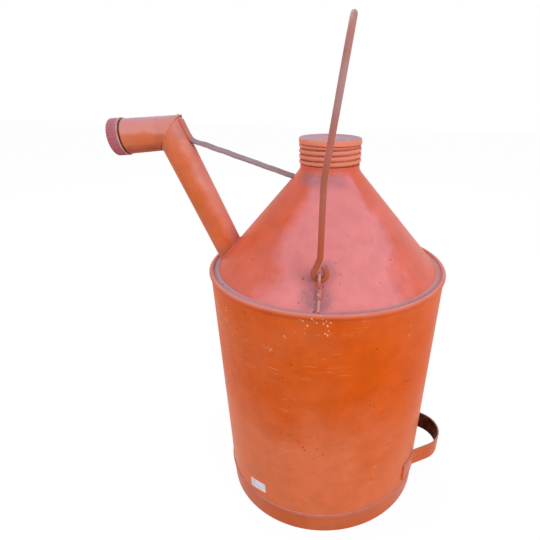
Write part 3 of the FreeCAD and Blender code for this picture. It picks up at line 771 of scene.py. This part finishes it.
for name, node in nodes.items():
    node.data.materials.clear()
    node.data.materials.append(materials[name])
print("materials made")


cone = {
    "slope": math.radians(47.45),    # above level
}


def coneHeight(radius):
    return neckLow.z - (radius - neckHigh.x) * math.tan(cone["slope"])


def closeMesh():
    bpy.ops.object.mode_set(mode="OBJECT")


def pickOnly(*pieces):
    if bpy.context.object and bpy.context.object.mode != "OBJECT":
        closeMesh()
    bpy.ops.object.select_all(action="DESELECT")
    for piece in pieces:
        piece.select_set(True)
    bpy.context.view_layer.objects.active = pieces[0]


def applyModifier(piece, kind, **settings):
    modifier = piece.modifiers.new(kind.lower(), kind)
    choose(modifier, **settings)
    pickOnly(piece)
    bpy.ops.object.modifier_apply(modifier=modifier.name)


thinSheet = 0.001 * mm     # how near two corners merge, where a sheet's edge is thin


def openMesh(piece, picked="SELECT"):
    pickOnly(piece)
    bpy.ops.object.mode_set(mode="EDIT")
    bpy.ops.mesh.select_all(action=picked)


def cleanMesh(piece, apart=0.01 * mm):
    openMesh(piece)
    bpy.ops.mesh.remove_doubles(threshold=apart)
    bpy.ops.mesh.normals_make_consistent(inside=False)
    closeMesh()


def finishPiece(piece, body, surface, smooth=35):
    # corners sharper than `smooth` degrees stay sharp
    pickOnly(piece)
    bpy.ops.object.transform_apply()
    bpy.ops.object.shade_smooth_by_angle(angle=math.radians(smooth))
    piece.data.materials.clear()
    piece.data.materials.append(materials[surface])
    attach(piece, body)


def drawOutline(name, lines):
    # each line is a row of (radius, height) points, drawn as edges in the upright plane
    corners, edges = [], []
    for line in lines:
        start = len(corners)
        corners += [(radius, 0, height) for radius, height in line]
        edges += [(start + n, start + n + 1) for n in range(len(line) - 1)]
    mesh = bpy.data.meshes.new(name)
    mesh.from_pydata(corners, edges, [])
    return addObject(name, mesh)


def turnOutline(piece, steps, rise=0.0, angle=fullTurn):
    applyModifier(piece, "SCREW", angle=angle, steps=steps, render_steps=steps, screw_offset=rise)
    cleanMesh(piece)


def sweepLine(name, line, start, sweep, steps, rise=0.0):
    # a line of (radius, height) points turned from one angle through another
    piece = drawOutline(name, [line])
    turnOutline(piece, steps, rise, math.radians(sweep))
    piece.rotation_euler = (0, 0, math.radians(start))
    bpy.ops.object.transform_apply()
    return piece


def bridgeOpenEdges(piece, low, high):
    # joins the two open rings that lie between two heights
    openMesh(piece, "DESELECT")
    bpy.ops.mesh.select_mode(type="EDGE")
    shape = bmesh.from_edit_mesh(piece.data)
    for edge in shape.edges:
        if edge.is_boundary and all(low < corner.co.z < high for corner in edge.verts):
            edge.select_set(True)
    bmesh.update_edit_mesh(piece.data)
    bpy.ops.mesh.bridge_edge_loops()
    closeMesh()


def turnThread(name, thread):
    # a wavy line, turned once while it rises one pitch, then cut level
    step = thread["pitch"] / thread["points"]
    count = math.ceil((thread["high"] - thread["low"] + thread["pitch"]) / step) + 3
    start = thread["low"] - thread["pitch"] - step
    # the groove's height where turning starts
    atFront = thread["grooveFront"] - thread["pitch"] * 0.75
    line = []
    for n in range(count):
        height = start + n * step
        wave = 0.5 + 0.5 * math.cos(fullTurn * (height - atFront) / thread["pitch"])
        line.append((thread["ridge"] - thread["depth"] * wave ** thread["sharpness"], height))
    piece = drawOutline(name, [line])
    turnOutline(piece, thread["steps"], rise=thread["pitch"])
    openMesh(piece)
    for height, cut in ((thread["low"], "clear_inner"), (thread["high"], "clear_outer")):
        bpy.ops.mesh.select_all(action="SELECT")
        bpy.ops.mesh.bisect(plane_co=(0, 0, height), plane_no=(0, 0, 1), **{cut: True})
    closeMesh()
    return piece


def makeThreaded(name, thread, rest):
    # the thread and the rest of the outline, joined into one closed shape
    piece = turnThread(name, thread)
    remainder = drawOutline(name + "Rest", rest)
    turnOutline(remainder, thread["steps"])
    pickOnly(piece, remainder)
    bpy.ops.object.join()
    reach = 0.75 * mm
    bridgeOpenEdges(piece, thread["low"] - reach, thread["low"] + reach)
    bridgeOpenEdges(piece, thread["high"] - reach, thread["high"] + reach)
    cleanMesh(piece)
    return piece


def spaced(first, last, count):
    # both ends and the even steps between them
    return [first + (last - first) * n / count for n in range(count + 1)]


def offsets(radius, height, *steps):
    # points of an outline, each so many mm out and up from one place
    return [(radius + out * mm, height + up * mm) for out, up in steps]


def quarterRound(centre, radius, fromAngle, toAngle, count=4):
    # points of a rounded corner, angles in degrees in the outline's plane
    angles = [math.radians(angle) for angle in spaced(fromAngle, toAngle, count)]
    return [(centre[0] + radius * math.cos(a), centre[1] + radius * math.sin(a)) for a in angles]


fillerCap = {
    "wall": 1.0 * mm,
    "inner": 24.1 * mm,
    "band": 4.1 * mm,          # smooth band under the top's edge
    "edge": 1.4 * mm,
    "panel": 18.9 * mm,        # radius of the sunk panel
    "dish": 0.3 * mm,
    "thread": {"ridge": 25.85 * mm, "depth": 0.95 * mm, "pitch": 4.1 * mm, "sharpness": 1.7,
               "grooveFront": 356.4 * mm, "points": 14, "steps": 160},
}


def makeFillerCap():
    outer, top, bottom = capHigh.x, capHigh.z, capLow.z
    bandFoot = top - fillerCap["band"]
    thread = dict(fillerCap["thread"], low=bottom + 0.3 * mm, high=bandFoot - 1.1 * mm)
    edge, inner, panel = fillerCap["edge"], fillerCap["inner"], fillerCap["panel"]
    upper = offsets(outer, bandFoot, (-1, -0.5), (-0.85, -0.25))
    upper += quarterRound((outer - 0.5 * mm, bandFoot + 0.4 * mm), 0.5 * mm, -60, 0, 3)
    upper += quarterRound((outer - edge, top - edge), edge, 0, 90)
    upper += offsets(outer, top, (-3.2, 0)) + offsets(panel, top, (0.8, 0), (0.3, -0.06))
    sunk = top - fillerCap["dish"]
    upper += offsets(panel, sunk, (-0.3, 0.04), (-0.9, 0)) + offsets(0, sunk, (8, -0.1), (0, -0.14))
    ceiling = top - fillerCap["wall"]
    lower = [(0, ceiling), (inner - 0.4 * mm, ceiling)]
    lower += quarterRound((inner - 0.4 * mm, ceiling - 0.4 * mm), 0.4 * mm, 90, 0, 3)[1:]
    lower += offsets(inner, bottom, (0, 0.35), (0.15, 0.08), (0.45, 0), (0.75, 0))
    piece = makeThreaded("fillerCapShell", thread, [upper, lower])
    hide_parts("filler_cap")
    finishPiece(piece, "filler_cap", "filler_cap")


fillerNeck = {
    "bore": 22.6 * mm,
    "collar": 24.9 * mm,
    "collarTop": 343.9 * mm,
    "feather": 28.4 * mm,      # where the neck's foot runs out on the cone
    "sweepTop": 341.6 * mm,
    "sweepSteps": 8,
    "thread": {"ridge": 23.8 * mm, "depth": 0.7 * mm, "pitch": 4.1 * mm, "sharpness": 1.2,
               "grooveFront": 356.4 * mm, "points": 14, "steps": 144},
}


def makeFillerNeck():
    bore, collar, collarTop = fillerNeck["bore"], fillerNeck["collar"], fillerNeck["collarTop"]
    top, ridge, feather = neckHigh.z, fillerNeck["thread"]["ridge"], fillerNeck["feather"]
    thread = dict(fillerNeck["thread"], low=collarTop + 0.5 * mm, high=top - 1.0 * mm)
    outline = [(ridge - 0.5 * mm, top - 0.6 * mm)]
    outline += quarterRound((bore + 0.55 * mm, top - 0.5 * mm), 0.5 * mm, 40, 180, 4)
    outline += [(bore, coneHeight(bore) + 0.05 * mm), (feather, coneHeight(feather) - 0.1 * mm)]
    # the foot sweeps from the slope up into the collar
    low, bend = (feather, coneHeight(feather) + 0.02 * mm), (collar, coneHeight(collar))
    for t in spaced(0, 1, fillerNeck["sweepSteps"]):
        outline.append(tuple((1 - t) ** 2 * a + 2 * t * (1 - t) * b + t * t * c
                             for a, b, c in zip(low, bend, (collar, fillerNeck["sweepTop"]))))
    outline += offsets(collar, collarTop, (0, -0.4), (-0.12, -0.12), (-0.4, 0))
    outline += [(ridge - 0.3 * mm, collarTop)]
    piece = makeThreaded("fillerNeckThreaded", thread, [outline])
    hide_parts("filler_neck")
    finishPiece(piece, "can", "filler_neck")


nozzle = {
    "mouthRadius": 13.4 * mm,
    "elbowRadius": 12.7 * mm,
    "length": 38.2 * mm,
    "wall": 0.9 * mm,
}


def nozzleRadius(distance):
    share = distance / nozzle["length"]
    return nozzle["elbowRadius"] + (nozzle["mouthRadius"] - nozzle["elbowRadius"]) * share


def layOnNozzle(piece):
    # a piece turned upright is laid along the nozzle's line, its zero at the elbow
    piece.rotation_euler = (0, math.atan2(nozzleWay.x, nozzleWay.z), 0)
    piece.location = elbow


ferrule = {
    "bore": 10.8 * mm,
    "lap": 10.0 * mm,          # inside the tube
    "end": 47.3 * mm,
    "thread": {"ridge": 12.8 * mm, "depth": 0.5 * mm, "pitch": 2.5 * mm, "sharpness": 1.0,
               "grooveFront": 41 * mm, "points": 14, "steps": 112},
}


def makeFerrule():
    bore, end, tubeEnd = ferrule["bore"], ferrule["end"], nozzle["length"]
    start, ridge = tubeEnd - ferrule["lap"], ferrule["thread"]["ridge"]
    thread = dict(ferrule["thread"], low=tubeEnd + 0.6 * mm, high=end - 0.8 * mm)
    outline = offsets(ridge, end, (-0.25, -0.4), (-0.6, 0))
    outline += quarterRound((bore + 0.35 * mm, end - 0.35 * mm), 0.35 * mm, 90, 180, 3)
    outline += [(bore, start), (nozzleRadius(start) - nozzle["wall"], start),
                (nozzleRadius(tubeEnd) - nozzle["wall"], tubeEnd)]
    outline += offsets(ridge, tubeEnd, (-0.1, 0.05), (-0.1, 0.25))
    piece = makeThreaded("spoutFerruleThreaded", thread, [outline])
    layOnNozzle(piece)
    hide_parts("spout_ferrule")
    finishPiece(piece, "can", "spout_ferrule")


spoutCap = {
    "outer": 14.2 * mm,
    "rim": 14.4 * mm,
    "inner": 13.2 * mm,
    "mouth": 39.7 * mm,
    "end": 50.05 * mm,
    "wall": 1.2 * mm,
    "edge": 1.5 * mm,
    "ribs": 60,
    "ribDepth": 0.32 * mm,
    "rows": 5,                 # the ribs are crossed by fine rings
    "ringDepth": 0.2 * mm,
}


def makeSpoutCap():
    outer, rim, inner = spoutCap["outer"], spoutCap["rim"], spoutCap["inner"]
    mouth, end, edge = spoutCap["mouth"], spoutCap["end"], spoutCap["edge"]
    ceiling, groove = end - spoutCap["wall"], outer - spoutCap["ringDepth"]
    knurlLow, knurlHigh = mouth + 2.0 * mm, end - edge - 0.2 * mm
    row = (knurlHigh - knurlLow) / spoutCap["rows"]
    outline = [(0, ceiling)] + offsets(inner, ceiling, (-0.4, 0), (0, -0.4))
    outline += offsets(inner, mouth, (0, 0.3), (0.25, 0))
    outline += offsets(rim, mouth, (-0.3, 0), (0, 0.3), (0, 0.95))
    outline += offsets(outer, mouth, (-0.1, 1.2), (-0.3, 1.45), (-0.1, 1.7))
    for n in range(spoutCap["rows"]):
        foot = knurlLow + n * row
        outline += [(outer, foot), (outer, foot + 0.62 * row),
                    (groove, foot + 0.76 * row), (groove, foot + 0.88 * row)]
    outline += [(outer, knurlHigh)]
    outline += quarterRound((outer - edge, end - edge), edge, 0, 90, 5)
    outline += offsets(outer - edge, end, (-1, -0.05), (-1.6, -0.3)) + offsets(0, end, (0, -0.35))
    piece = drawOutline("spoutCapKnurled", [outline])
    steps = 4 * spoutCap["ribs"]
    turnOutline(piece, steps)
    # every other strip of the band is drawn in, which leaves the ribs standing
    openMesh(piece, "DESELECT")
    bpy.ops.mesh.select_mode(type="VERT")
    shape = bmesh.from_edit_mesh(piece.data)
    for corner in shape.verts:
        x, y, height = corner.co
        strip = round(math.atan2(y, x) / fullTurn * steps) % 4
        banded = knurlLow + 0.1 * mm < height < knurlHigh - 0.1 * mm
        if banded and math.hypot(x, y) > inner + 0.3 * mm:
            corner.select_set(strip > 1)
    bmesh.update_edit_mesh(piece.data)
    shrink = 1 - spoutCap["ribDepth"] / outer
    bpy.ops.transform.resize(value=(shrink, shrink, 1), center_override=(0, 0, 0))
    closeMesh()
    layOnNozzle(piece)
    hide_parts("spout_cap")
    finishPiece(piece, "spout_cap", "spout_cap", smooth=25)


makeFillerCap()
makeFillerNeck()
makeFerrule()
makeSpoutCap()
print("caps, neck and ferrule made")


label = {
    "start": -130.8,           # degrees round the can
    "sweep": 11.4,
    "low": 33.1 * mm,
    "height": 12.7 * mm,
    "climb": 3.6 * mm,         # it was stuck on askew
    "radius": 108.06 * mm,
    "thickness": 0.14 * mm,
    "lift": 0.35 * mm,         # one corner has come away
    "lifted": 6 * mm,          # how much of it
    "rows": 6,
    "steps": 14,
}


def makeLabel():
    heights = spaced(label["low"], label["low"] + label["height"], label["rows"])
    line = [(label["radius"], height) for height in heights]
    piece = sweepLine("priceLabel", line, label["start"], label["sweep"], label["steps"],
                      label["climb"])
    # the upper right corner stands off the wall
    end = math.radians(label["start"] + label["sweep"])
    peak = Vector((label["radius"] * math.cos(end), label["radius"] * math.sin(end),
                   label["low"] + label["height"] + label["climb"]))
    for corner in piece.data.vertices:
        near = max(0.0, 1 - (corner.co - peak).length / label["lifted"])
        outward = Vector((corner.co.x, corner.co.y, 0)).normalized()
        corner.co += outward * label["lift"] * near ** 2
    applyModifier(piece, "SOLIDIFY", thickness=label["thickness"], offset=0)
    cleanMesh(piece, thinSheet)
    finishPiece(piece, "can", "label")


solder = {
    "footBead": 0.8 * mm,
    "mitreBead": 1.1 * mm,
    "mitreSunk": 0.9 * mm,        # of the bead, below the tubes' skin
    "cornerFill": 0.5 * mm,       # it stands up this much more inside the bend
    "tabBead": 0.5 * mm,
    "tabShy": 0.6 * mm,           # short of the strap's edges
    "lean": math.radians(22.5),   # lower tube, from upright
    "ringSteps": 96,
    "tabSteps": 24,
    "reach": (60 * mm, 150 * mm),   # down the tube, between which the cone is met
    "halvings": 40,
    # how uneven each bead's thickness is
    "uneven": {"foot": 0.18, "mitre": 0.1, "tab": 0.35},
}


def makeBead(name, path, radius, uneven, surface, ring=True):
    # a run of solder along a path, its thickness a little uneven
    curve = bpy.data.curves.new(name, "CURVE")
    choose(curve, dimensions="3D", bevel_depth=radius, bevel_resolution=3, use_fill_caps=not ring)
    spline = curve.splines.new("POLY")
    spline.points.add(len(path) - 1)
    for n, (point, place) in enumerate(zip(spline.points, path)):
        point.co = (*place, 1)
        point.radius = 1 + uneven * math.sin(n * 0.9) * math.sin(n * 0.37 + 1)
    spline.use_cyclic_u = ring
    pickOnly(addObject(name, curve))
    bpy.ops.object.convert(target="MESH")
    piece = bpy.context.object
    cleanMesh(piece)
    finishPiece(piece, "can", surface)


# the lower tube's own line, and square to it on its back
tubeDown = Vector((math.sin(solder["lean"]), 0, -math.cos(solder["lean"])))
tubeBack = Vector((math.cos(solder["lean"]), 0, math.sin(solder["lean"])))


def makeSolder():
    reach, steps, uneven = nozzle["elbowRadius"], solder["ringSteps"], solder["uneven"]
    spokes = []
    for n in range(steps):
        a = fullTurn * n / steps
        spokes.append(math.cos(a) * tubeBack + math.sin(a) * Vector((0, 1, 0)))

    # where the lower tube meets the cone, found by halving
    foot = []
    for spoke in spokes:
        near, far = solder["reach"]
        for _ in range(solder["halvings"]):
            middle = (near + far) / 2
            point = elbow + middle * tubeDown + reach * spoke
            if point.z > coneHeight(math.hypot(point.x, point.y)):
                near = middle
            else:
                far = middle
        foot.append(elbow + near * tubeDown + reach * spoke)
    makeBead("spoutFootSolder", foot, solder["footBead"], uneven["foot"], "spout_lower_tube")

    # round the mitre at the elbow, most of it sunk into the tubes
    square = (nozzleWay - tubeDown).normalized()
    mitre = []
    for spoke in spokes:
        inPlane = (spoke - square * spoke.dot(square)).normalized()
        sunk = solder["mitreSunk"] - solder["cornerFill"] * max(0.0, spoke.dot(nozzleWay)) ** 2
        along = spoke.dot(square) / tubeDown.dot(square)
        mitre.append(elbow + reach * (spoke - tubeDown * along) - sunk * inPlane)
    makeBead("elbowSolder", mitre, solder["mitreBead"], uneven["mitre"], "spout_lower_tube")

    # down the ends of the tilt handle's strap
    low, high = handleLow.z + solder["tabShy"], handleHigh.z - solder["tabShy"]
    for end, sign in (("Front", -1), ("Back", 1)):
        path = [(handleLow.x, sign * handleHigh.y, height)
                for height in spaced(low, high, solder["tabSteps"])]
        makeBead("handleSolder" + end, path, solder["tabBead"], uneven["tab"], "tilt_handle", False)


gutter = {
    # radius and height, across from the cone to the rim and back underneath
    "outline": ((101.0, 256.36), (102.0, 255.75), (103.0, 255.4), (104.0, 255.35), (104.8, 255.55),
                (105.5, 256.1), (105.6, 253.6), (104.3, 252.2), (103.0, 253.5)),
    "uneven": 0.15 * mm,
    "unevenBand": (255.2 * mm, 255.9 * mm),
    "steps": 180,
}


def makeGutterDust():
    # old dust and solder packed between the cone's foot and the rim's bead
    corners = [(radius * mm, height * mm) for radius, height in gutter["outline"]]
    piece = drawOutline("gutterDust", [corners + corners[:1]])
    cleanMesh(piece)
    turnOutline(piece, gutter["steps"])
    low, high = gutter["unevenBand"]
    for corner in piece.data.vertices:
        x, y, height = corner.co
        around = math.atan2(y, x)
        if low < height < high:
            wave = math.sin(7 * around + 1) * math.sin(19 * around) + 0.5 * math.sin(43 * around)
            corner.co.z += gutter["uneven"] * wave
    finishPiece(piece, "can", "gutter")


makeLabel()
makeSolder()
makeGutterDust()
print("label, solder and gutter made")


def makeNozzleLap():
    # the sheet's outer edge, lapped along the nozzle's underside
    distances = spaced(lap["from"], lap["to"], lap["steps"])
    line = [(nozzleRadius(distance) - lap["sunk"], distance) for distance in distances]
    piece = sweepLine("nozzleLap", line, lap["lapEdge"], lap["width"], lap["turnSteps"])
    applyModifier(piece, "SOLIDIFY", thickness=lap["thickness"] + lap["sunk"], offset=1)
    # the far side runs out to nothing
    start = math.radians(lap["lapEdge"])
    thinFrom, sharpness = lap["thinning"]
    for corner in piece.data.vertices:
        x, y, height = corner.co
        away = (math.atan2(y, x) - start) / math.radians(lap["width"])
        skin = nozzleRadius(height)
        reach = math.hypot(x, y)
        if reach > skin:
            thin = max(0.0, min(1.0, thinFrom - away)) ** sharpness
            scale = (skin + (reach - skin) * thin + 0.01 * mm) / reach
            corner.co.x, corner.co.y = x * scale, y * scale
    cleanMesh(piece, thinSheet)
    layOnNozzle(piece)
    finishPiece(piece, "can", "spout_upper_tube")


brace = {
    "thickness": 1.6 * mm,
    "width": 13.6 * mm,
    "tabWidth": 9.0 * mm,
    "tabTop": -5.8 * mm,       # along the lower tube from the elbow
    "tabFoot": 11.0 * mm,
    "landing": 31.4 * mm,      # radius where the strip meets the cone
    "toe": 1.3 * mm,           # runs on into the cone's solder
    "bend": 2.5 * mm,
    "easings": 2,
    "opens": 9 * mm,           # past the tab, until the strip has its full width
    "hugs": 7 * mm,            # half the width that can lie round the tube
    "wave": 0.35 * mm,
    "bevel": 0.35 * mm,
    "steps": 120,
    "across": 10,
}


def makeBrace():
    # a strip of tin, from the back of the tube down to the cone
    tubeRadius, half = nozzle["elbowRadius"], brace["thickness"] / 2
    slopeOut = Vector((-math.sin(cone["slope"]), 0, math.cos(cone["slope"])))
    landing = Vector((-brace["landing"], 0, coneHeight(brace["landing"]))) + slopeOut * half
    leaves = elbow + tubeDown * brace["tabFoot"] + tubeBack * (tubeRadius + half)
    # the bends are eased by cutting the corners a few times
    path = [elbow + tubeDown * brace["tabTop"] + tubeBack * (tubeRadius + half), leaves, landing,
            landing + (landing - leaves).normalized() * brace["toe"]]
    for _ in range(brace["easings"]):
        eased = [path[0]]
        for before, after in zip(path, path[1:]):
            reach = min(brace["bend"], (after - before).length / 4)
            step = (after - before).normalized() * reach
            eased += [before + step, after - step]
        path = eased + [path[-1]]
    lengths = [0.0]
    for before, after in zip(path, path[1:]):
        lengths.append(lengths[-1] + (after - before).length)

    bpy.ops.mesh.primitive_grid_add(x_subdivisions=brace["steps"],
                                    y_subdivisions=brace["across"], size=2)
    piece = bpy.context.object
    piece.name = "spoutBraceStrip"
    tabLength = brace["tabFoot"] - brace["tabTop"]
    for corner in piece.data.vertices:
        along = (corner.co.x + 1) / 2 * lengths[-1]
        n = max(k for k in range(len(path) - 1) if lengths[k] <= along + 1e-9)
        share = (along - lengths[n]) / max(lengths[n + 1] - lengths[n], 1e-9)
        place = path[n].lerp(path[n + 1], min(share, 1.0))
        # 0 on the tab, 1 past it
        free = min(1.0, max(0.0, (along - tabLength) / brace["opens"]))
        wide = (brace["tabWidth"] + (brace["width"] - brace["tabWidth"]) * free) / 2
        side = 1 if corner.co.y > 0 else -1
        wave = math.sin(along / mm * 0.42 + 2 * side) + 0.6 * math.sin(along / mm * 0.97 + side)
        y = corner.co.y * (wide + brace["wave"] * wave * free)
        hug = tubeRadius - math.sqrt(tubeRadius ** 2 - min(abs(y), brace["hugs"]) ** 2)
        place = place - tubeBack * hug * (1 - free)
        rise = 0.35 * brace["wave"] * math.sin(along / mm * 0.3)
        corner.co = (place.x, y, place.z + rise * free * (1 - abs(2 * along / lengths[-1] - 1)))
    applyModifier(piece, "SOLIDIFY", thickness=brace["thickness"], offset=0, use_even_offset=True)
    applyModifier(piece, "BEVEL", width=brace["bevel"], segments=2, limit_method="ANGLE",
                  angle_limit=math.radians(50))
    cleanMesh(piece, thinSheet)
    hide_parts("spout_brace")
    finishPiece(piece, "can", "spout_brace")


earBlob = {
    "length": 15 * mm,
    "width": 5.2 * mm,
    "height": 0.9 * mm,
    "along": 0.24,             # up the ear, from its foot
    "seat": 0.2 * mm,          # cut this far under the cone's face
}


def makeEarBlobs():
    # a flat run of solder holds each ear's twisted shank down on the cone
    slope = cone["slope"]
    reach = abs(earLow.y) - (abs(earLow.y) - abs(earHigh.y)) * earBlob["along"]
    for name, sign in (("earSolderFront", -1), ("earSolderBack", 1)):
        bpy.ops.mesh.primitive_uv_sphere_add(segments=40, ring_count=20, radius=1,
                                             location=(0, sign * reach, coneHeight(reach)))
        piece = bpy.context.object
        piece.name = name
        piece.scale = (earBlob["width"] / 2, earBlob["length"] / 2, earBlob["height"])
        piece.rotation_euler = (-sign * slope, 0, 0)
        bpy.ops.object.transform_apply()
        for corner in piece.data.vertices:
            x, y, z = corner.co / mm
            wave = 0.22 * math.sin(1.3 * y + 0.4 * z) + 0.12 * math.sin(2.3 * x + 1.1 * y)
            corner.co.x *= 1 + wave
        outward = Vector((0, sign * math.sin(slope), math.cos(slope)))
        openMesh(piece)
        seat = Vector((0, sign * reach, coneHeight(reach))) - outward * earBlob["seat"]
        bpy.ops.mesh.bisect(plane_co=seat, plane_no=outward, clear_inner=True, use_fill=True)
        closeMesh()
        cleanMesh(piece)
        finishPiece(piece, "can", "cone_top")


makeNozzleLap()
makeBrace()
makeEarBlobs()
print("lap, brace and ear solder made")
